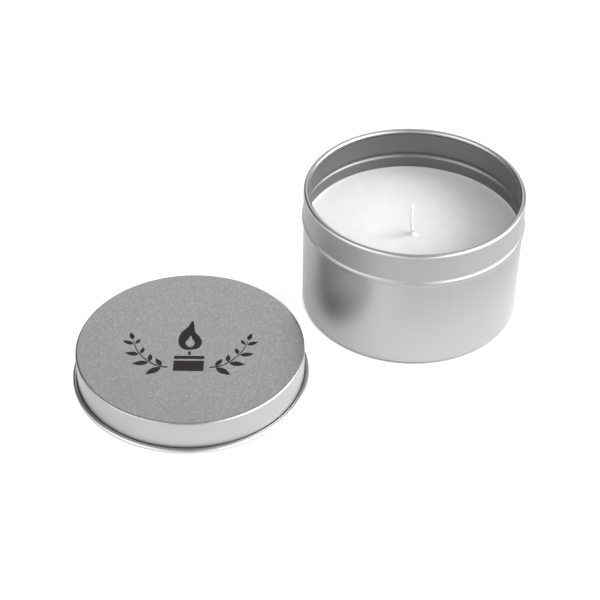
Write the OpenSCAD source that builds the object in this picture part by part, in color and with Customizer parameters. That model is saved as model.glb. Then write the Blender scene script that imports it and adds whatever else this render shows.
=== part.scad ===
// Slip-lid candle tin: a drawn tinplate cup with a poured wax fill and a wick, and its lid lying
// beside it. Origin at the centre of the cup's base, +Z up, lid along -X, all sizes in millimetres.

/* [Sheet] */
// Thickness of the tinplate that the cup and the lid are pressed from
sheet_t = 0.25; // [0.2:0.01:0.35]

/* [Cup] */
// Outer diameter of the cup's straight wall
cup_od = 72.5; // [50:0.5:100]
// Height of the open cup, from its base to the top of its rim
cup_h = 44.4; // [34:0.1:80]
// Outer radius of the rounded corner round the base
base_corner_r = 1.7; // [0.8:0.1:4]
// Radius of the rim's inward roll
rim_roll_r = 0.93; // [0.7:0.01:1.3]

/* [Stop bead] */
// Height of the neck, from the middle of the stop bead to the top of the rim
neck_h = 11; // [8:0.1:14]
// How far the bead stands out from the wall
bead_out = 0.5; // [0.3:0.05:0.8]
// Radius of the bead's rounded crest
bead_crest_r = 1.35; // [1:0.05:2]
// Radius of the hollows that blend the bead into the wall
bead_blend_r = 1; // [0.6:0.05:1.5]

/* [Lid] */
// Gap all round between the cup's neck and the lid's skirt
lid_slip = 0.05; // [0.03:0.01:0.2]
// Gap between the rim and the lid's panel with the lid pushed home on the bead
lid_headroom = 0.9; // [0.3:0.1:2]
// Outer radius of the corner between the lid's panel and its skirt
lid_corner_r = 0.7; // [0.5:0.1:2]
// Radius of the outward roll round the lid's open edge
lid_roll_r = 0.9; // [0.7:0.01:1.2]
// Gap on the table between the cup's stop bead and the rolled edge of the lid lying beside it
lid_gap = 7.95; // [1:0.05:40]

/* [Fill] */
// Depth of the wax's surface below the top of the rim
headspace = 16.2; // [14:0.1:24]
// Diameter of the waxed wick
wick_d = 1.5; // [1.2:0.1:3]
// Length of wick left standing out of the wax
wick_stand = 11.8; // [5:0.1:14]
// Offset of the wick from the cup's axis, left to right
wick_x = -1.4; // [-4:0.1:4]
// Offset of the wick from the cup's axis, front to back
wick_y = -2.1; // [-4:0.1:4]

/* [Wick support] */
// Diameter of the metal tab that holds the wick's foot
tab_d = 20; // [12:0.5:30]
// Height of the tab's crimped collar above the top of its plate
collar_h = 6; // [3:0.5:10]
// Diameter of the adhesive disc that holds the tab down
sticker_d = 19; // [10:0.5:28]
// Thickness of the adhesive disc
sticker_t = 0.8; // [0.4:0.1:1.5]

/* [Hidden] */
$fn = 96;

tinplate = [0.66, 0.66, 0.67];
wax_white = [0.93, 0.92, 0.90];
wick_white = [0.95, 0.94, 0.90];
tab_metal = [0.72, 0.72, 0.74];
sticker_white = [0.90, 0.90, 0.88];

cup_r = cup_od / 2;
cup_bore_r = cup_r - sheet_t;
bead_z = cup_h - neck_h;
wax_z = cup_h - headspace;

// The bead's crest and its two blends are arcs that meet tangent to each other and to the wall
bead_centre_r = cup_r + bead_out - bead_crest_r;
bead_arcs_r = bead_crest_r + bead_blend_r;
bead_half_h = sqrt(bead_out * (2 * bead_arcs_r - bead_out));

// The rolled edges stop short of closing, so that their raw edge doesn't touch the wall
rim_roll_end = 236;
lid_roll_end = 125;

lid_bore_r = cup_r + lid_slip;
lid_skirt_r = lid_bore_r + sheet_t;
lid_roll_centre_r = lid_bore_r + lid_roll_r;
// Pushed home, the lid's skirt ends where the bead starts to stand out, in the hollow of its blend
lid_seat_z = bead_z + bead_half_h - lid_roll_r;
lid_h = cup_h + lid_headroom + sheet_t - lid_seat_z;
lid_away = cup_r + bead_out + lid_gap + lid_roll_centre_r + lid_roll_r;

tab_z = sheet_t + sticker_t;
tab_foot_r = 0.8;
collar_r = wick_d / 2 + sheet_t;

// Half outline of a drum with rounded lower corners, from the axis outwards
module drum_outline(r, h, corner_r) {
    square([r - corner_r, h]);
    translate([0, corner_r]) square([r, h - corner_r]);
    translate([r - corner_r, corner_r]) circle(corner_r);
}

// Outline of the bead on a wall of radius wall_r, with its blends cut tangent to the wall
module bead_outline(wall_r, crest_r, blend_r) {
    join_r = bead_centre_r + crest_r * (bead_arcs_r - bead_out) / bead_arcs_r;
    join_h = crest_r * bead_half_h / bead_arcs_r;
    translate([0, bead_z]) difference() {
        union() {
            polygon([
                [wall_r - sheet_t, -bead_half_h], [wall_r, -bead_half_h], [join_r, -join_h],
                [join_r, join_h], [wall_r, bead_half_h], [wall_r - sheet_t, bead_half_h]
            ]);
            intersection() {
                translate([bead_centre_r, 0]) circle(crest_r);
                translate([bead_centre_r, -join_h]) square([crest_r, 2 * join_h]);
            }
        }
        for (side = [-1, 1])
            translate([wall_r + blend_r, side * bead_half_h]) circle(blend_r);
    }
}

// Section of an edge rolled from one angle to another, counted anticlockwise from +X
module roll_section(r, from, to) {
    reach = 2 * r;
    steps = 6;
    difference() {
        circle(r);
        circle(r - sheet_t);
        polygon(concat([[0, 0]], [
            for (i = [0:steps])
                let (a = to + (from + 360 - to) * i / steps) reach * [cos(a), sin(a)]
        ]));
    }
}

// Sheet wall of the cup, open at the top, up to the height where the rim starts to roll
module cup_section() {
    wall_h = cup_h - rim_roll_r;
    difference() {
        union() {
            drum_outline(cup_r, wall_h, base_corner_r);
            bead_outline(cup_r, bead_crest_r, bead_blend_r);
        }
        translate([0, sheet_t])
            drum_outline(cup_bore_r, wall_h, base_corner_r - sheet_t);
        bead_outline(cup_bore_r, bead_crest_r - sheet_t, bead_blend_r + sheet_t);
    }
    translate([cup_r - rim_roll_r, wall_h]) roll_section(rim_roll_r, 0, rim_roll_end);
}

module tin_body() {
    color(tinplate) rotate_extrude() cup_section();
}

// Lid the right way up, with its open edge on the table
module lid_section() {
    difference() {
        translate([0, lid_h]) mirror([0, 1])
            drum_outline(lid_skirt_r, lid_h - lid_roll_r, lid_corner_r);
        translate([0, lid_h - sheet_t]) mirror([0, 1])
            drum_outline(lid_bore_r, lid_h, lid_corner_r - sheet_t);
    }
    translate([lid_roll_centre_r, lid_roll_r])
        roll_section(lid_roll_r, 180, 360 + lid_roll_end);
}

module lid() {
    color(tinplate) translate([-lid_away, 0, 0]) rotate_extrude() lid_section();
}

// Places what stands on the wick's own axis
module at_wick(z) {
    translate([wick_x, wick_y, z]) children();
}

module wick_solid(d) {
    at_wick(tab_z) cylinder(d = d, h = wax_z + wick_stand - tab_z);
}

// Plate, rounded foot and collar of the tab, without the bore for the wick
module tab_solid() {
    at_wick(tab_z) rotate_extrude() {
        square([tab_d / 2, sheet_t]);
        square([collar_r, sheet_t + collar_h]);
        difference() {
            square([collar_r + tab_foot_r, sheet_t + tab_foot_r]);
            translate([collar_r + tab_foot_r, sheet_t + tab_foot_r]) circle(tab_foot_r);
        }
    }
}

module sticker_solid() {
    at_wick(sheet_t) cylinder(d = sticker_d, h = sticker_t);
}

module wax_fill() {
    color(wax_white) difference() {
        translate([0, 0, sheet_t]) rotate_extrude()
            drum_outline(cup_bore_r, wax_z - sheet_t, base_corner_r - sheet_t);
        wick_solid(wick_d);
        tab_solid();
        sticker_solid();
    }
}

module wick() {
    color(wick_white) wick_solid(wick_d);
}

module wick_sustainer() {
    color(tab_metal) difference() {
        tab_solid();
        wick_solid(wick_d);
    }
}

module wick_sticker() {
    color(sticker_white) sticker_solid();
}

tin_body();
lid();
wax_fill();
wick();
wick_sustainer();
wick_sticker();
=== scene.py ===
import math

import bmesh
import bpy
from mathutils import Matrix, Vector, noise


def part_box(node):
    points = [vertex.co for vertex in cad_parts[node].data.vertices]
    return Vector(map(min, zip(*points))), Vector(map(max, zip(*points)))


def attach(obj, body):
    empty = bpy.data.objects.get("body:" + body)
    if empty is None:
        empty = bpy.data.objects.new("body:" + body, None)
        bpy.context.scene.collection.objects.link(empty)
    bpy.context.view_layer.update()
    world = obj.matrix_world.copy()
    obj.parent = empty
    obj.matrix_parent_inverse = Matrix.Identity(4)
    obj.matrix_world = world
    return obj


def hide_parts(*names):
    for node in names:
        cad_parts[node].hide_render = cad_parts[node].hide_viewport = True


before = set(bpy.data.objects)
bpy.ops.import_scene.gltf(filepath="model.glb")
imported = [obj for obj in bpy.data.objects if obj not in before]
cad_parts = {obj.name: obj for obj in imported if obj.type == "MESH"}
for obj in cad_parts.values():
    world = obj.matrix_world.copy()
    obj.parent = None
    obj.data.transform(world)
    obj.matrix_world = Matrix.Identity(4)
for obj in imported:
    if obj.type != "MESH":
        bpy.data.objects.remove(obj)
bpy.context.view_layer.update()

mm = 0.001
scene = bpy.context.scene
print("frame loaded:", sorted(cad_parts))


# Camera, looking down at the two pieces from the front left

shot = {
    "azimuth": -29.58,    # degrees round the cup, 0 looks along +Y
    "tilt": 39.19,        # degrees down from level
    "roll": 0.48,
    "place": (-251.3 * mm, -367.6 * mm, 359.1 * mm),
    "lens": 100,
    "sensor": 36,
    "nearest": 10 * mm,
}


def addCamera(shot):
    data = bpy.data.cameras.new("camera")
    data.lens = shot["lens"]
    data.sensor_width = shot["sensor"]
    data.clip_start = shot["nearest"]
    camera = bpy.data.objects.new("camera", data)
    scene.collection.objects.link(camera)
    turn = Matrix.Rotation(math.radians(shot["azimuth"]), 4, "Z")
    lean = Matrix.Rotation(math.radians(90 - shot["tilt"]), 4, "X")
    roll = Matrix.Rotation(math.radians(shot["roll"]), 4, "Z")
    camera.matrix_world = Matrix.Translation(shot["place"]) @ turn @ lean @ roll
    scene.camera = camera


addCamera(shot)
# Turns "right, away" as the camera sees them into the row's X and Y
toCamera = Matrix.Rotation(math.radians(shot["azimuth"]), 4, "Z")
print("camera placed")


# Helpers for turned sheet metal: an outline is drawn in the XZ plane, then spun round Z

holdRing = 0.25 * mm     # from the end of a straight stretch to the ring that holds it straight
weldGap = 0.001 * mm


def startOutline(x, z):
    bm = bmesh.new()
    return bm, bm.verts.new((x, 0, z))


def lineTo(bm, tip, x, z, steps=1):
    start = tip.co.copy()
    end = Vector((x, 0, z))
    for i in range(1, steps + 1):
        tip = bmesh.ops.extrude_vert_indiv(bm, verts=[tip])["verts"][0]
        tip.co = start.lerp(end, i / steps)
    return tip


def wallTo(bm, tip, x, z, steps):    # a straight stretch with a holding ring close to each end
    start = tip.co.copy()
    end = Vector((x, 0, z))
    share = holdRing / (end - start).length
    near = start.lerp(end, share)
    far = start.lerp(end, 1 - share)
    tip = lineTo(bm, tip, near.x, near.z)
    tip = lineTo(bm, tip, far.x, far.z, steps)
    return lineTo(bm, tip, x, z)


def arcTo(bm, tip, x, z, degrees, steps):    # anticlockwise round (x, z) with X to the right and Z up
    made = bmesh.ops.spin(bm, geom=[tip], cent=(x, 0, z), axis=(0, -1, 0),
                          angle=math.radians(degrees), steps=steps)
    return [g for g in made["geom_last"] if isinstance(g, bmesh.types.BMVert)][0]


def turnOutline(bm, segments):
    bmesh.ops.spin(bm, geom=bm.verts[:] + bm.edges[:], cent=(0, 0, 0), axis=(0, 0, 1),
                   angle=math.tau, steps=segments, use_merge=True)
    bmesh.ops.remove_doubles(bm, verts=bm.verts[:], dist=weldGap)


def pointFaces(bm, where, direction):    # the face nearest to where is made to look along direction
    bmesh.ops.recalc_face_normals(bm, faces=bm.faces[:])
    nearest = min(bm.faces, key=lambda f: (f.calc_center_median() - Vector(where)).length)
    if nearest.normal.dot(Vector(direction)) < 0:
        bmesh.ops.reverse_faces(bm, faces=bm.faces[:])


def makePiece(name, bm, body, materials, replaced=()):
    for face in bm.faces:
        face.smooth = True
    mesh = bpy.data.meshes.new(name)
    bm.to_mesh(mesh)
    bm.free()
    piece = bpy.data.objects.new(name, mesh)
    scene.collection.objects.link(piece)
    for material in materials:
        mesh.materials.append(material)
    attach(piece, body)
    for node in replaced:
        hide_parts(node)
    return piece


def thicken(piece, sheet, innerSlot=0):
    wall = piece.modifiers.new("sheet", "SOLIDIFY")
    wall.thickness = sheet
    wall.offset = -1
    wall.use_even_offset = True
    wall.material_offset = innerSlot


# Material helpers

def newMaterial(name, color, metallic, roughness):
    material = bpy.data.materials.new(name)
    material.use_nodes = True
    nodes = material.node_tree.nodes
    shader = nodes["Principled BSDF"]
    shader.inputs["Base Color"].default_value = (*color, 1)
    shader.inputs["Metallic"].default_value = metallic
    shader.inputs["Roughness"].default_value = roughness
    return material, nodes, material.node_tree.links, shader


def objectNoise(nodes, links, detail, angle=0, stretch=(1, 1, 1)):    # stretch is the size of one grain
    place = nodes.new("ShaderNodeTexCoord")
    mapping = nodes.new("ShaderNodeMapping")
    mapping.vector_type = "TEXTURE"
    mapping.inputs["Rotation"].default_value = (0, 0, math.radians(angle))
    mapping.inputs["Scale"].default_value = stretch
    texture = nodes.new("ShaderNodeTexNoise")
    texture.inputs["Scale"].default_value = 1
    texture.inputs["Detail"].default_value = detail
    links.new(place.outputs["Object"], mapping.inputs["Vector"])
    links.new(mapping.outputs["Vector"], texture.inputs["Vector"])
    return texture.outputs["Fac"]


def spread(nodes, links, value, low, high, fromLow=0.3, fromHigh=0.7):
    ramp = nodes.new("ShaderNodeMapRange")
    ramp.inputs["From Min"].default_value = fromLow
    ramp.inputs["From Max"].default_value = fromHigh
    ramp.inputs["To Min"].default_value = low
    ramp.inputs["To Max"].default_value = high
    links.new(value, ramp.inputs["Value"])
    return ramp.outputs["Result"]


def blendColors(nodes, links, fac, first, second):
    mix = nodes.new("ShaderNodeMix")
    mix.data_type = "RGBA"
    mix.inputs["A"].default_value = (*first, 1)
    mix.inputs["B"].default_value = (*second, 1)
    links.new(fac, mix.inputs["Factor"])
    return mix.outputs["Result"]


def addBump(nodes, links, shader, height, strength, distance):
    bump = nodes.new("ShaderNodeBump")
    bump.inputs["Strength"].default_value = strength
    bump.inputs["Distance"].default_value = distance
    links.new(height, bump.inputs["Height"])
    links.new(bump.outputs["Normal"], shader.inputs["Normal"])


# Tinplate

tinplate = {
    "bright": (0.338, 0.338, 0.338),
    "dull": (0.325, 0.325, 0.325),
    "roughness": (0.365, 0.39),
    # the inside of the cup: a darker copy of the same tinplate, painted shade inside the cup
    "shadedInsideBright": (0.190, 0.190, 0.190),
    "shadedInsideDull": (0.182, 0.182, 0.182),
    "insideRoughness": (0.42, 0.44),
    "rolled": (0.42, 0.42, 0.42),    # the curled edges, a little brighter than the wall: a painted highlight
    "rolledRoughness": (0.33, 0.35),
    "neck": (0.325, 0.325, 0.325),    # a little duller than the wall
    "neckRoughness": (0.52, 0.55),
    "gapShadow": (0.05, 0.05, 0.05),    # painted shadow: the dark line along the raw edge of the roll, where the gap under it lies in shade
    "streak": (0.5 * mm, 0.5 * mm, 9 * mm),
    "speckle": (0.22 * mm, 0.22 * mm, 0.3 * mm),
    "grain": 0.004 * mm,
    "grainStrength": 0.3,
}
brushing = {
    "angle": 28,    # degrees round from +X
    "fine": (1.3 * mm, 0.11 * mm, 1 * mm),
    "fleck": (0.95 * mm, 0.16 * mm, 1 * mm),
    "fleckFrom": 0.635,
    "fleckFull": 0.73,
    "fleckColor": (0.62, 0.62, 0.62),
    "cloud": 9 * mm,
    "bright": (0.385, 0.385, 0.385),
    "dull": (0.275, 0.275, 0.275),
    "roughness": (0.35, 0.375),
    "depth": 0.006 * mm,
    "depthStrength": 0.3,
}


def drawnTinplate(name, bright, dull, roughness):    # upright grain left by the drawing die
    material, nodes, links, shader = newMaterial(name, bright, 1, sum(roughness) / 2)
    streaks = objectNoise(nodes, links, 4, stretch=tinplate["streak"])
    speckle = objectNoise(nodes, links, 2, stretch=tinplate["speckle"])
    links.new(blendColors(nodes, links, spread(nodes, links, streaks, 0, 1), dull, bright),
              shader.inputs["Base Color"])
    links.new(spread(nodes, links, streaks, *roughness), shader.inputs["Roughness"])
    addBump(nodes, links, shader, speckle, tinplate["grainStrength"], tinplate["grain"])
    return material


def brushedTinplate(name, brushing):    # rolled sheet, with bright flecks lying along the rolling direction
    middle = sum(brushing["roughness"]) / 2
    material, nodes, links, shader = newMaterial(name, brushing["bright"], 1, middle)
    fine = objectNoise(nodes, links, 3, brushing["angle"], brushing["fine"])
    fleck = objectNoise(nodes, links, 1, brushing["angle"], brushing["fleck"])
    cloud = objectNoise(nodes, links, 2, brushing["angle"], (brushing["cloud"],) * 3)
    grey = blendColors(nodes, links, spread(nodes, links, fine, 0, 1), brushing["dull"], brushing["bright"])
    mask = spread(nodes, links, fleck, 0, 1, brushing["fleckFrom"], brushing["fleckFull"])
    flecked = blendColors(nodes, links, mask, brushing["bright"], brushing["fleckColor"])
    links.new(grey, flecked.node.inputs["A"])
    links.new(flecked, shader.inputs["Base Color"])
    links.new(spread(nodes, links, cloud, *brushing["roughness"]), shader.inputs["Roughness"])
    addBump(nodes, links, shader, fine, brushing["depthStrength"], brushing["depth"])
    return material


# Cup

cup = {
    "sheet": 0.25 * mm,
    "baseCorner": 1.7 * mm,
    "neckHeight": 11.0 * mm,
    "beadOut": 0.5 * mm,
    "beadCrest": 1.35 * mm,
    "beadBlend": 1.0 * mm,
    "rimRoll": 0.93 * mm,
    "rollTurn": 228,
    "ragFrom": 196,    # degrees round the roll where the raw edge starts to wander
    "ragSwing": 16,
    "ragLength": 5 * mm,
    "nick": 0.5,    # small nicks, as a share of the swing
    "nickLength": 1.25 * mm,
    "gapShadowFrom": 190,    # degrees round the roll where the painted shadow line starts
    "rollFit": 0.01 * mm,    # how near to its radius a point of the roll lies
    "inset": 0.05 * mm,    # what lies deeper than this inside the wall belongs to the roll
    "slots": {"roll": 2, "neck": 4, "gapShadowLine": 6},    # the slot after each one is its inner side
    "steps": {"base": 6, "corner": 10, "wall": 12, "blend": 5, "crest": 10, "neck": 5, "roll": 30},
    "segments": 288,
}


def turnOf(out, height, x, z):    # degrees round the roll centred at (x, z)
    return math.degrees(math.atan2(height - z, out - x)) % 360


def ragEdge(bm, x, z, cup):    # the raw edge of the roll is never cut quite level
    for vert in bm.verts:
        out = math.hypot(vert.co.x, vert.co.y)
        arm = math.hypot(out - x, vert.co.z - z)
        turn = turnOf(out, vert.co.z, x, z)
        onRoll = abs(arm - cup["rimRoll"]) < cup["rollFit"]
        if not onRoll or not cup["ragFrom"] < turn < cup["rollTurn"] + 1:
            continue
        share = (turn - cup["ragFrom"]) / (cup["rollTurn"] - cup["ragFrom"])
        spot = vert.co.xy.to_3d()
        wander = noise.noise(spot / cup["ragLength"])
        wander += cup["nick"] * noise.noise(spot / cup["nickLength"])
        turn = math.radians(turn + share * cup["ragSwing"] * wander)
        nearer = (x + arm * math.cos(turn)) / out
        vert.co = (vert.co.x * nearer, vert.co.y * nearer, z + arm * math.sin(turn))


def markCup(bm, cup, wall, height):    # the roll, the neck and the painted shadow line along the roll's raw edge get their own slots
    x, z = wall - cup["rimRoll"], height - cup["rimRoll"]
    neckFrom = height - cup["neckHeight"] + cup["beadBlend"]
    for face in bm.faces:
        spot = face.calc_center_median()
        out = math.hypot(spot.x, spot.y)
        tuckedIn = out < wall - cup["inset"] and spot.z > height / 2
        if spot.z > z or tuckedIn:
            dark = turnOf(out, spot.z, x, z) > cup["gapShadowFrom"]
            face.material_index = cup["slots"]["gapShadowLine" if dark else "roll"]
        elif spot.z > neckFrom:
            face.material_index = cup["slots"]["neck"]


def makeCup(cup):
    low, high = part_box("tin_body")
    height = high.z
    wall = high.x - cup["beadOut"]
    corner, roll = cup["baseCorner"], cup["rimRoll"]
    blend, crest = cup["beadBlend"], cup["beadCrest"]
    beadZ = height - cup["neckHeight"]
    arcs = crest + blend
    half = math.sqrt(cup["beadOut"] * (2 * arcs - cup["beadOut"]))
    swing = math.degrees(math.asin(half / arcs))
    steps = cup["steps"]

    bm, tip = startOutline(0, 0)
    tip = wallTo(bm, tip, wall - corner, 0, steps["base"])
    tip = arcTo(bm, tip, wall - corner, corner, 90, steps["corner"])
    tip = wallTo(bm, tip, wall, beadZ - half, steps["wall"])
    tip = arcTo(bm, tip, wall + blend, beadZ - half, -swing, steps["blend"])
    tip = arcTo(bm, tip, high.x - crest, beadZ, 2 * swing, steps["crest"])
    tip = arcTo(bm, tip, wall + blend, beadZ + half, -swing, steps["blend"])
    tip = wallTo(bm, tip, wall, height - roll, steps["neck"])
    tip = arcTo(bm, tip, wall - roll, height - roll, cup["rollTurn"], steps["roll"])
    turnOutline(bm, cup["segments"])
    markCup(bm, cup, wall, height)
    ragEdge(bm, wall - roll, height - roll, cup)
    pointFaces(bm, (wall, 0, height / 2), (1, 0, 0))
    return bm


outside = drawnTinplate("drawnTinplate", tinplate["bright"], tinplate["dull"], tinplate["roughness"])
# the inner faces of the cup take the darker copy of the tinplate, painted shade inside the cup
inside = drawnTinplate("tinplateShadedInside", tinplate["shadedInsideBright"], tinplate["shadedInsideDull"],
                       tinplate["insideRoughness"])
# the curled edges of cup and lid take a brighter copy of the tinplate, a painted highlight
rolled = drawnTinplate("rolledTinplateHighlight", tinplate["rolled"], tinplate["rolled"], tinplate["rolledRoughness"])
dulled = drawnTinplate("dullTinplate", tinplate["neck"], tinplate["neck"], tinplate["neckRoughness"])
# painted shadow: a near-black copy of the tinplate for the shaded gap under the roll's raw edge
gapShadow = drawnTinplate("paintedGapShadow", tinplate["gapShadow"], tinplate["gapShadow"], tinplate["roughness"])
cupPiece = makePiece("cup_shell", makeCup(cup), "tin",
                     [outside, inside, rolled, inside, dulled, inside, gapShadow, inside], ["tin_body"])
thicken(cupPiece, cup["sheet"], 1)
print("cup turned")


# Lid

lid = {
    "sheet": 0.25 * mm,
    "corner": 0.7 * mm,
    "panelShare": 0.5,    # share of the corner's height that shows the panel's sheet
    "edgeRoll": 0.9 * mm,
    "rollTurn": 305,
    "rollTop": 2.01,      # radii up from the open edge, just past the top of the roll
    "steps": {"panel": 8, "corner": 8, "skirt": 5, "roll": 32},
    "segments": 288,
}


def makeLid(lid):
    low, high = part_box("lid")
    sheet, roll = lid["sheet"], lid["edgeRoll"]
    height = high.z
    bore = (high.x - low.x) / 2 - 2 * roll
    corner = lid["corner"] - sheet
    under = height - sheet
    steps = lid["steps"]

    bm, tip = startOutline(0, under)
    tip = wallTo(bm, tip, bore - corner, under, steps["panel"])
    tip = arcTo(bm, tip, bore - corner, under - corner, -90, steps["corner"])
    tip = wallTo(bm, tip, bore, roll, steps["skirt"])
    tip = arcTo(bm, tip, bore + roll, roll, lid["rollTurn"], steps["roll"])
    turnOutline(bm, lid["segments"])
    pointFaces(bm, (0, 0, under), (0, 0, -1))
    bmesh.ops.translate(bm, verts=bm.verts[:], vec=((low.x + high.x) / 2, 0, 0))
    return bm


def markLid(bm, lid):    # slot 0 is the drawn skirt, 1 the flat panel of rolled sheet, 2 the roll
    panelFrom = max(vert.co.z for vert in bm.verts) - lid["panelShare"] * lid["corner"]
    rollTo = lid["rollTop"] * lid["edgeRoll"]
    for face in bm.faces:
        heights = [vert.co.z for vert in face.verts]
        if min(heights) > panelFrom:
            face.material_index = 1
        elif max(heights) < rollTo:
            face.material_index = 2


panel = brushedTinplate("brushedTinplate", brushing)
lidMesh = makeLid(lid)
markLid(lidMesh, lid)
lidPiece = makePiece("lid_shell", lidMesh, "lid", [outside, panel, rolled], ["lid"])
thicken(lidPiece, lid["sheet"])
print("lid turned")


# Print on the lid: a flame on a small candle, between two leafy sprigs, as flat ink

ink = {
    "color": (0.0165, 0.0135, 0.0140),
    "roughness": 0.62,
    "roughnessSwing": 0.05,
    "specular": 0.12,
    "thick": 0.012 * mm,
    "sunk": 0.006 * mm,
    "weld": 0.0005 * mm,
    "flame": ((0, -2.2), (2.6, -1.4), (3.7, 1.2), (3.0, 3.9), (1.3, 6.6), (0.9, 9.4), (0.2, 12.2),
              (-1.3, 9.0), (-3.2, 6.2), (-3.9, 2.9), (-3.3, -0.4), (-1.9, -1.9)),
    "heart": ((0, -0.9), (1.2, 0.1), (1.3, 1.6), (0.5, 3.2), (0.1, 4.6),
              (-0.8, 3.0), (-1.5, 1.4), (-1.1, 0)),
    "wickStub": ((-0.45, -4.6), (0.45, -4.6), (0.45, -2.9), (-0.45, -2.9)),
    "candle": ((-4.8, -12.3), (4.8, -12.3), (4.8, -5.1), (-4.8, -5.1)),
    "candleBand": ((-4.8, -7.4), (4.8, -7.4), (4.8, -6.6), (-4.8, -6.6)),
    "stem": ((6.6, -10.6), (10.4, -9.6), (14.0, -6.6), (16.8, -2.4), (18.3, 2.2)),
    "stemWidth": 0.62,
    "stemTaper": 0.6,
    "leafLength": (6.2, 3.7),    # at the foot of the sprig, at its tip
    "leafWidth": 0.42,           # share of the length
    "leafBelly": 0.85,           # below 1 the widest place lies nearer the foot
    "leafPairs": 4,
    "firstLeaf": 0.6,     # where the first pair stands, in steps between pairs
    "innerLeaf": 0.70,    # size of the leaves on the hollow side of the stem
    "leafLean": 48,
    "leafGap": 0.45,
}


def bendLine(points, share):    # a smooth walk along points
    spots = [Vector(p) for p in points]
    where = share * (len(spots) - 1)
    i = min(int(where), len(spots) - 2)
    t = where - i
    before = spots[max(i - 1, 0)]
    after = spots[min(i + 2, len(spots) - 1)]
    first, second = spots[i], spots[i + 1]
    slope = second - before
    bend = 2 * before - 5 * first + 4 * second - after
    twist = 3 * first - before - 3 * second + after
    return 0.5 * (2 * first + slope * t + bend * t * t + twist * t ** 3)


def smoothLoop(points, steps=8):
    spots = [Vector(p) for p in points]
    count = len(spots)
    out = []
    for i in range(count):
        ring = [spots[(i + k) % count] for k in (-1, 0, 1, 2)]
        for k in range(steps):
            out.append(bendLine(ring, (1 + k / steps) / 3))
    return out


def leafLoop(foot, heading, length, width, belly, steps=10):
    aim = Vector((math.cos(heading), math.sin(heading)))
    side = Vector((-aim.y, aim.x))
    swell = [width * math.sin(math.pi * (k / steps) ** belly) / 2 for k in range(steps + 1)]
    right = [foot + aim * (length * k / steps) - side * swell[k] for k in range(steps + 1)]
    left = [foot + aim * (length * k / steps) + side * swell[k] for k in range(steps - 1, 0, -1)]
    return right + left


def sprigLoops(ink, flip):
    steps = 24
    line = [bendLine(ink["stem"], k / steps) for k in range(steps + 1)]
    slopes = [(line[min(k + 1, steps)] - line[max(k - 1, 0)]).normalized() for k in range(steps + 1)]
    widths = [ink["stemWidth"] * (1 - ink["stemTaper"] * k / steps) / 2 for k in range(steps + 1)]
    sides = [Vector((-slope.y, slope.x)) * width for slope, width in zip(slopes, widths)]
    loops = [[p + side for p, side in zip(line, sides)] + [p - side for p, side in zip(line, sides)][::-1]]
    firstLength, lastLength = ink["leafLength"]
    for k in range(ink["leafPairs"]):
        share = (k + ink["firstLeaf"]) / ink["leafPairs"]
        at = int(share * steps)
        length = firstLength + (lastLength - firstLength) * share
        heading = math.atan2(slopes[at].y, slopes[at].x)
        for way in (-1, 1):
            lean = heading + way * math.radians(ink["leafLean"])
            foot = line[at] + ink["leafGap"] * Vector((math.cos(lean), math.sin(lean)))
            size = length * (ink["innerLeaf"] if way > 0 else 1)
            loops.append(leafLoop(foot, lean, size, ink["leafWidth"] * size, ink["leafBelly"]))
    tipHeading = math.atan2(slopes[-1].y, slopes[-1].x)
    tipFoot = line[-1] + ink["leafGap"] * slopes[-1]
    tipWidth = ink["leafWidth"] * lastLength
    loops.append(leafLoop(tipFoot, tipHeading, lastLength, tipWidth, ink["leafBelly"]))
    return [[Vector((flip * p.x, p.y)) for p in loop] for loop in loops]


def makePrint(ink):
    low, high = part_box("lid")
    flat = bpy.data.curves.new("ink", "CURVE")
    flat.dimensions = "2D"
    flat.fill_mode = "BOTH"
    flat.extrude = ink["thick"] / 2
    loops = [smoothLoop(ink["flame"]), smoothLoop(ink["heart"])]
    loops += [ink["wickStub"], ink["candle"], ink["candleBand"]]
    for loop in loops + sprigLoops(ink, 1) + sprigLoops(ink, -1):
        spline = flat.splines.new("POLY")
        spline.points.add(len(loop) - 1)
        for point, spot in zip(spline.points, loop):
            point.co = (spot[0] * mm, spot[1] * mm, 0, 1)
        spline.use_cyclic_u = True
    drawn = bpy.data.objects.new("inkCurve", flat)
    bm = bmesh.new()
    bm.from_mesh(bpy.data.meshes.new_from_object(drawn))
    bpy.data.objects.remove(drawn)
    bmesh.ops.remove_doubles(bm, verts=bm.verts[:], dist=ink["weld"])
    centre = Vector(((low.x + high.x) / 2, 0, high.z + ink["thick"] / 2 - ink["sunk"]))
    bmesh.ops.transform(bm, matrix=Matrix.Translation(centre) @ toCamera, verts=bm.verts[:])
    bmesh.ops.recalc_face_normals(bm, faces=bm.faces[:])
    return bm


inkMaterial, inkNodes, inkLinks, inkShader = newMaterial("printedInk", ink["color"], 0, ink["roughness"])
inkShader.inputs["Specular IOR Level"].default_value = ink["specular"]
inkGrain = objectNoise(inkNodes, inkLinks, 2, brushing["angle"], brushing["fine"])
inkLow, inkHigh = ink["roughness"] - ink["roughnessSwing"], ink["roughness"] + ink["roughnessSwing"]
inkLinks.new(spread(inkNodes, inkLinks, inkGrain, inkLow, inkHigh), inkShader.inputs["Roughness"])
printPiece = makePiece("lid_print", makePrint(ink), "lid", [inkMaterial])
for polygon in printPiece.data.polygons:
    polygon.use_smooth = False
print("lid printed")


# Wax. Each swell or hollow of its surface is a height, where it lies right of and behind the wick, and how
# far it reaches to its left, to its right and to its front and back

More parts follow.
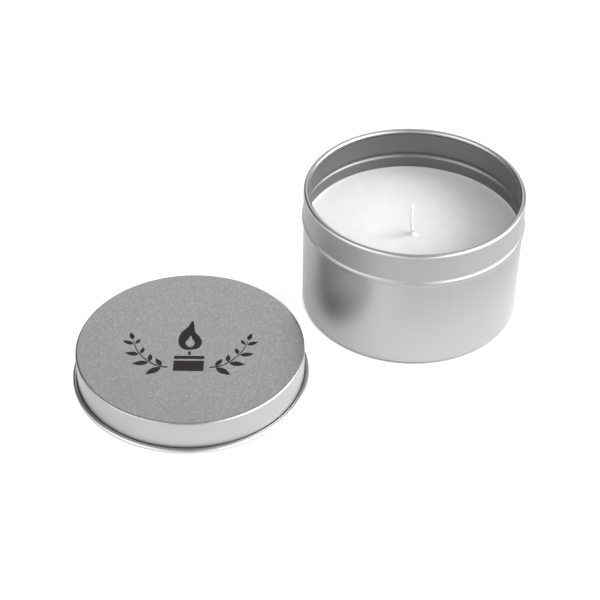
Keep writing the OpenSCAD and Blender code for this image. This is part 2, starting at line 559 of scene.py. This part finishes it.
wax = {
    "color": (0.65, 0.65, 0.65),
    "clouded": (0.615, 0.615, 0.615),
    "cloud": 5 * mm,
    "roughness": 0.45,
    "subsurface": 0.4,
    "subsurfaceRadius": 1.2 * mm,
    "segments": 240,
    "rings": ((1.9, 5), (12.0, 30), (28.0, 28), (34.2, 10), (35.4, 6), (36.04, 5)),    # mm out, steps
    "hole": 0.40 * mm,
    "evenFrom": 11 * mm,    # rings nearer than this stay centred on the wick
    "meniscus": (0.30 * mm, 0.45 * mm),
    "creep": (0.75 * mm, 0.55 * mm),    # height and reach of the wax drawn up the wick
    "swells": (
        (0.60 * mm, 0.45 * mm, -0.45 * mm, 1.3 * mm, 1.6 * mm, 1.3 * mm),
        (-0.95 * mm, -6.8 * mm, 1.2 * mm, 7.0 * mm, 4.0 * mm, 2.6 * mm),
        (-0.25 * mm, -2.8 * mm, 0.9 * mm, 1.8 * mm, 1.0 * mm, 1.1 * mm),
        (-0.10 * mm, -14.3 * mm, 17.6 * mm, 2.4 * mm, 2.4 * mm, 2.0 * mm),
        (-0.06 * mm, -7.1 * mm, 26.6 * mm, 0.6 * mm, 0.6 * mm, 0.6 * mm),
        (0.06 * mm, -6.8 * mm, 12.6 * mm, 0.7 * mm, 0.7 * mm, 0.9 * mm),
        (-0.20 * mm, 0, 0, 14 * mm, 14 * mm, 14 * mm),
    ),
    "waves": ((0.10 * mm, 13 * mm), (0.018 * mm, 3.2 * mm)),    # height, length
    "roughnessSwing": (0.04, 0.06),    # down, up
    "grain": 0.02 * mm,
    "grainSize": 0.9 * mm,
    "grainStrength": 0.25,
    "topRing": 2 * mm,    # the first ring of the wick's hole, below the surface
    "steps": {"wall": 8, "corner": 5, "base": 6, "plate": 3, "foot": 5, "collar": 2, "hole": 3},
}
tab = {
    "radius": 10 * mm,
    "sheet": 0.25 * mm,
    "foot": 0.8 * mm,
    "color": (0.62, 0.62, 0.64),
    "roughness": (0.26, 0.40),
    "middleRoughness": 0.32,
    "grainSize": 0.4 * mm,
}
sticker = {
    "color": (0.80, 0.79, 0.76),
    "roughness": 0.85,
    "cellSize": 0.25 * mm,
    "cellDepth": 0.06 * mm,
    "cellStrength": 0.5,
}


def waxRise(spot, fromWick, wallGap, wax):
    right, away = fromWick
    high, reach = wax["meniscus"]
    rise = high * math.exp(-wallGap / reach)
    high, reach = wax["creep"]
    rise += high * math.exp(-(fromWick.length - wax["hole"]) / reach)
    for high, atRight, atAway, toLeft, toRight, halfAway in wax["swells"]:
        halfRight = toRight if right > atRight else toLeft
        rise += high * math.exp(-((right - atRight) / halfRight) ** 2 - ((away - atAway) / halfAway) ** 2)
    for high, length in wax["waves"]:
        rise += high * noise.noise(spot / length)
    return rise


def makeWax(wax):
    low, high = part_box("wax_fill")
    wickLow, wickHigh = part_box("wick")
    tabLow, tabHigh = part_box("wick_sustainer")
    stickLow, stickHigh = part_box("wick_sticker")
    axis = ((wickLow + wickHigh) / 2).xy
    wall = wax["rings"][-1][0] * mm
    level, floorZ = high.z, low.z
    corner = cup["baseCorner"] - cup["sheet"]
    stick = (stickHigh.x - stickLow.x) / 2
    plate = tabLow.z + tab["sheet"]
    collar = (wickHigh.x - wickLow.x) / 2 + tab["sheet"]
    steps = wax["steps"]

    bm, tip = startOutline(wax["hole"], level)
    first = tip
    for out, rings in wax["rings"]:
        tip = lineTo(bm, tip, out * mm, level, rings)
    tip = lineTo(bm, tip, wall, floorZ + corner, steps["wall"])
    tip = arcTo(bm, tip, wall - corner, floorZ + corner, -90, steps["corner"])
    tip = lineTo(bm, tip, stick, floorZ, steps["base"])
    tip = lineTo(bm, tip, stick, stickHigh.z)
    tip = lineTo(bm, tip, tab["radius"], stickHigh.z)
    tip = lineTo(bm, tip, tab["radius"], plate)
    tip = lineTo(bm, tip, collar + tab["foot"], plate, steps["plate"])
    tip = arcTo(bm, tip, collar + tab["foot"], plate + tab["foot"], -90, steps["foot"])
    tip = lineTo(bm, tip, collar, tabHigh.z, steps["collar"])
    tip = lineTo(bm, tip, wax["hole"], tabHigh.z)
    tip = lineTo(bm, tip, wax["hole"], level - wax["topRing"], steps["hole"])
    bm.edges.new((tip, first))
    turnOutline(bm, wax["segments"])

    toView = toCamera.to_2x2().inverted()
    for vert in bm.verts:
        out = vert.co.xy
        onTop = abs(vert.co.z - level) < weldGap
        share = min(max((out.length - wax["evenFrom"]) / (wall - wax["evenFrom"]), 0), 1)
        share = share * share * (3 - 2 * share)
        if share > 0:    # outer rings widen or narrow until they lie along the cup's wall
            aim = out.normalized()
            along = axis.dot(aim)
            reach = math.sqrt(along * along + wall * wall - axis.length_squared) - along
            out = out * (1 + share * (reach / wall - 1))
        spot = axis + out
        rise = 0
        if onTop:
            rise = waxRise(spot.to_3d(), toView @ out, max(wall - spot.length, 0), wax)
        vert.co = (spot.x, spot.y, vert.co.z + rise)
    pointFaces(bm, (wall / 2, 0, level), (0, 0, 1))
    return bm


def waxMaterial(name, color, clouded, wax):
    material, nodes, links, shader = newMaterial(name, color, 0, wax["roughness"])
    cloud = objectNoise(nodes, links, 3, stretch=(wax["cloud"],) * 3)
    links.new(blendColors(nodes, links, spread(nodes, links, cloud, 0, 1), clouded, color),
              shader.inputs["Base Color"])
    shader.inputs["Subsurface Weight"].default_value = wax["subsurface"]
    shader.inputs["Subsurface Radius"].default_value = (1, 1, 1)
    shader.inputs["Subsurface Scale"].default_value = wax["subsurfaceRadius"]
    grain = objectNoise(nodes, links, 3, stretch=(wax["grainSize"],) * 3)
    down, up = wax["roughnessSwing"]
    links.new(spread(nodes, links, grain, wax["roughness"] - down, wax["roughness"] + up),
              shader.inputs["Roughness"])
    addBump(nodes, links, shader, grain, wax["grainStrength"], wax["grain"])
    return material


candleWax = waxMaterial("candleWax", wax["color"], wax["clouded"], wax)
makePiece("wax_pour", makeWax(wax), "tin", [candleWax], ["wax_fill"])
print("wax poured")


# Wick: three strands plaited flat and dipped, then bent a little to one side where it stands free

wick = {
    "color": (0.69, 0.69, 0.69),
    "clouded": (0.65, 0.65, 0.65),
    "subsurface": 0.8,
    "swing": (0.30 * mm, 0.16 * mm),    # sideways, front to back
    "pitch": 3.6 * mm,
    "strand": 0.30 * mm,
    "lean": -0.35 * mm,    # at the tip, negative is to the left
    "leanCurve": 1.5,
    "sag": -0.45 * mm,     # halfway up, negative is to the left
    "ends": (0.05 * mm, 0.35 * mm, 0.20 * mm),    # how far each strand stops short
    "pointsEvery": 0.22 * mm,
    "voxel": 0.085 * mm,
    "smooth": 4,
}


def makeWick(wick):
    low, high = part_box("wick")
    axis = (low + high) / 2
    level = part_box("wax_fill")[1].z
    sideways = toCamera @ Vector((1, 0, 0))
    across = toCamera @ Vector((0, 1, 0))
    strands = bpy.data.curves.new("strands", "CURVE")
    strands.dimensions = "3D"
    strands.bevel_depth = wick["strand"]
    strands.bevel_resolution = 3
    strands.use_fill_caps = True
    for k, short in enumerate(wick["ends"]):
        bottom, top = low.z + wick["strand"] / 2, high.z - short
        count = int((top - bottom) / wick["pointsEvery"])
        spline = strands.splines.new("POLY")
        spline.points.add(count)
        for i, point in enumerate(spline.points):
            z = bottom + (top - bottom) * i / count
            turn = math.tau * (z / wick["pitch"] + k / 3)
            free = max((z - level) / (high.z - level), 0)
            lean = wick["lean"] * free ** wick["leanCurve"] + wick["sag"] * math.sin(math.pi * free)
            spot = Vector((axis.x, axis.y, z)) + sideways * (wick["swing"][0] * math.sin(turn) + lean)
            spot += across * (wick["swing"][1] * math.sin(2 * turn))
            point.co = (*spot, 1)
    laid = bpy.data.objects.new("strandCurve", strands)
    bm = bmesh.new()
    bm.from_mesh(bpy.data.meshes.new_from_object(laid))
    bpy.data.objects.remove(laid)
    return bm


cotton = waxMaterial("waxedCotton", wick["color"], wick["clouded"], wax)
cotton.node_tree.nodes["Principled BSDF"].inputs["Subsurface Weight"].default_value = wick["subsurface"]
wickPiece = makePiece("wick_braid", makeWick(wick), "tin", [cotton], ["wick"])
coat = wickPiece.modifiers.new("coat", "REMESH")
coat.mode = "VOXEL"
coat.voxel_size = wick["voxel"]
coat.use_smooth_shade = True
settle = wickPiece.modifiers.new("settle", "SMOOTH")
settle.factor = 0.5
settle.iterations = wick["smooth"]
print("wick laid")


# Tab and sticker under the wax, drawn from the frame's own parts

tabMetal, tabNodes, tabLinks, tabShader = newMaterial("zincPlate", tab["color"], 1, tab["middleRoughness"])
tabGrain = objectNoise(tabNodes, tabLinks, 3, stretch=(tab["grainSize"],) * 3)
tabLinks.new(spread(tabNodes, tabLinks, tabGrain, *tab["roughness"]), tabShader.inputs["Roughness"])
foam, foamNodes, foamLinks, foamShader = newMaterial("adhesiveFoam", sticker["color"], 0,
                                                     sticker["roughness"])
foamGrain = objectNoise(foamNodes, foamLinks, 2, stretch=(sticker["cellSize"],) * 3)
addBump(foamNodes, foamLinks, foamShader, foamGrain, sticker["cellStrength"], sticker["cellDepth"])
for name, material in (("wick_sustainer", tabMetal), ("wick_sticker", foam)):
    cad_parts[name].data.materials.clear()
    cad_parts[name].data.materials.append(material)
print("tab and sticker finished")


# Floor and light: a light table under the pieces, and soft boxes all round them

studio = {
    "floor": (0.5, 0.5, 0.5),
    "floorHalf": 2.5,        # metres
    "floorSquares": 8,
    "floorRoughness": 0.9,
    "floorGlow": 0.29,
    "poolGlow": 0.60,    # extra glow of the table close to the pieces
    "poolShift": (2 * mm, -8 * mm, 0),    # right, away
    "shade": (-50 * mm, 8 * mm, 0),      # a dimmer patch of the table, left of the cup: painted shade, seen as a dark reflection low on the cup's left
    "shadeGlow": 0.78,
    "shadeReach": (8 * mm, 42 * mm),
    "lift": (-60 * mm, 24 * mm, 0),    # and a brighter one behind it: painted light over the place where the cup's shadow falls
    "liftGlow": 0.68,
    "liftReach": (26 * mm, 60 * mm),
    "underCup": (35.2 * mm, 36.8 * mm),    # the table is dark under the cup: a painted contact shadow along the cup's foot
    "pool": (36 * mm, 85 * mm),    # out from a piece, where the extra glow starts to fade and has gone
    "lightFull": 4,     # degrees out from the middle of a light
    "lightGone": 32,
    "lights": {    # degrees clockwise from straight ahead, degrees up, strength
        "overhead": (60, 84, 0.8),
        "keyHigh": (90, 54, 0.9),
        "key": (92, 28, 7.6),
        "keyMid": (94, 18, 3.6),
        "keyFront": (120, 30, 2.1),
        "keyBack": (60, 30, 0.5),
        "keyLow": (108, 8, 0.6),
        "keyLowBack": (72, 8, 0.4),
        "keyCorner": (138, 22, 2.8),
        "frontRight": (144, 8, 0.7),
        "front": (180, 8, 0.86),
        "frontLeft": (216, 8, 1.45),
        "leftLow": (252, 8, 1.30),
        "leftFront": (210, 30, 0.9),
        "left": (240, 42, 2.6),
        "leftBack": (270, 30, 0.8),
        "back": (0, 30, 1.43),
    },
}


def tableGlow(nodes, links, place, spot, low, high, reach):    # from low at spot to high beyond reach
    apart = nodes.new("ShaderNodeVectorMath")
    apart.operation = "DISTANCE"
    apart.inputs[1].default_value = spot
    links.new(place, apart.inputs[0])
    glow = spread(nodes, links, apart.outputs["Value"], low, high, *reach)
    glow.node.interpolation_type = "SMOOTHSTEP"
    return glow


def combine(nodes, links, operation, first, second):
    node = nodes.new("ShaderNodeMath")
    node.operation = operation
    links.new(first, node.inputs[0])
    links.new(second, node.inputs[1])
    return node.outputs["Value"]


def addFloor(studio):
    bm = bmesh.new()
    squares = studio["floorSquares"]
    bmesh.ops.create_grid(bm, x_segments=squares, y_segments=squares, size=studio["floorHalf"])
    mesh = bpy.data.meshes.new("floor")
    bm.to_mesh(mesh)
    bm.free()
    floor = bpy.data.objects.new("floor", mesh)
    scene.collection.objects.link(floor)
    material, nodes, links, shader = newMaterial("lightTable", studio["floor"], 0, studio["floorRoughness"])
    place = nodes.new("ShaderNodeTexCoord").outputs["Object"]
    plain = studio["floorGlow"]
    pools = []
    for node in ("tin_body", "lid"):
        low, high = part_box(node)
        middle = Vector(((low.x + high.x) / 2, (low.y + high.y) / 2, 0))
        middle += toCamera @ Vector(studio["poolShift"])
        bright = plain + studio["poolGlow"]
        pools.append(tableGlow(nodes, links, place, middle, bright, plain, studio["pool"]))
    glow = combine(nodes, links, "MAXIMUM", *pools)
    lift = toCamera @ Vector(studio["lift"])
    shadowFill = tableGlow(nodes, links, place, lift, studio["liftGlow"], 0, studio["liftReach"])
    shade = toCamera @ Vector(studio["shade"])
    dim = tableGlow(nodes, links, place, shade, studio["shadeGlow"], 1, studio["shadeReach"])
    glow = combine(nodes, links, "MULTIPLY", glow, dim)
    glow = combine(nodes, links, "MAXIMUM", glow, shadowFill)
    contactShadow = tableGlow(nodes, links, place, (0, 0, 0), 0, 1, studio["underCup"])
    glow = combine(nodes, links, "MULTIPLY", glow, contactShadow)
    shader.inputs["Emission Color"].default_value = (1, 1, 1, 1)
    links.new(glow, shader.inputs["Emission Strength"])
    mesh.materials.append(material)


def addWorld(studio):
    world = bpy.data.worlds.new("studio")
    world.use_nodes = True
    nodes, links = world.node_tree.nodes, world.node_tree.links
    way = nodes.new("ShaderNodeTexCoord").outputs["Generated"]
    full, gone = (math.cos(math.radians(studio[edge])) for edge in ("lightFull", "lightGone"))
    total = None
    for clockwise, up, strength in studio["lights"].values():
        turn, lift = math.radians(clockwise), math.radians(up)
        direction = Vector((math.sin(turn) * math.cos(lift), math.cos(turn) * math.cos(lift), math.sin(lift)))
        aim = nodes.new("ShaderNodeVectorMath")
        aim.operation = "DOT_PRODUCT"
        aim.inputs[1].default_value = toCamera @ direction
        links.new(way, aim.inputs[0])
        light = spread(nodes, links, aim.outputs["Value"], 0, strength, gone, full)
        light.node.interpolation_type = "SMOOTHSTEP"
        total = light if total is None else combine(nodes, links, "ADD", total, light)
    links.new(total, nodes["Background"].inputs["Strength"])
    nodes["Background"].inputs["Color"].default_value = (1, 1, 1, 1)
    scene.world = world


addFloor(studio)
addWorld(studio)
scene.view_settings.view_transform = "Standard"
print("lights set")
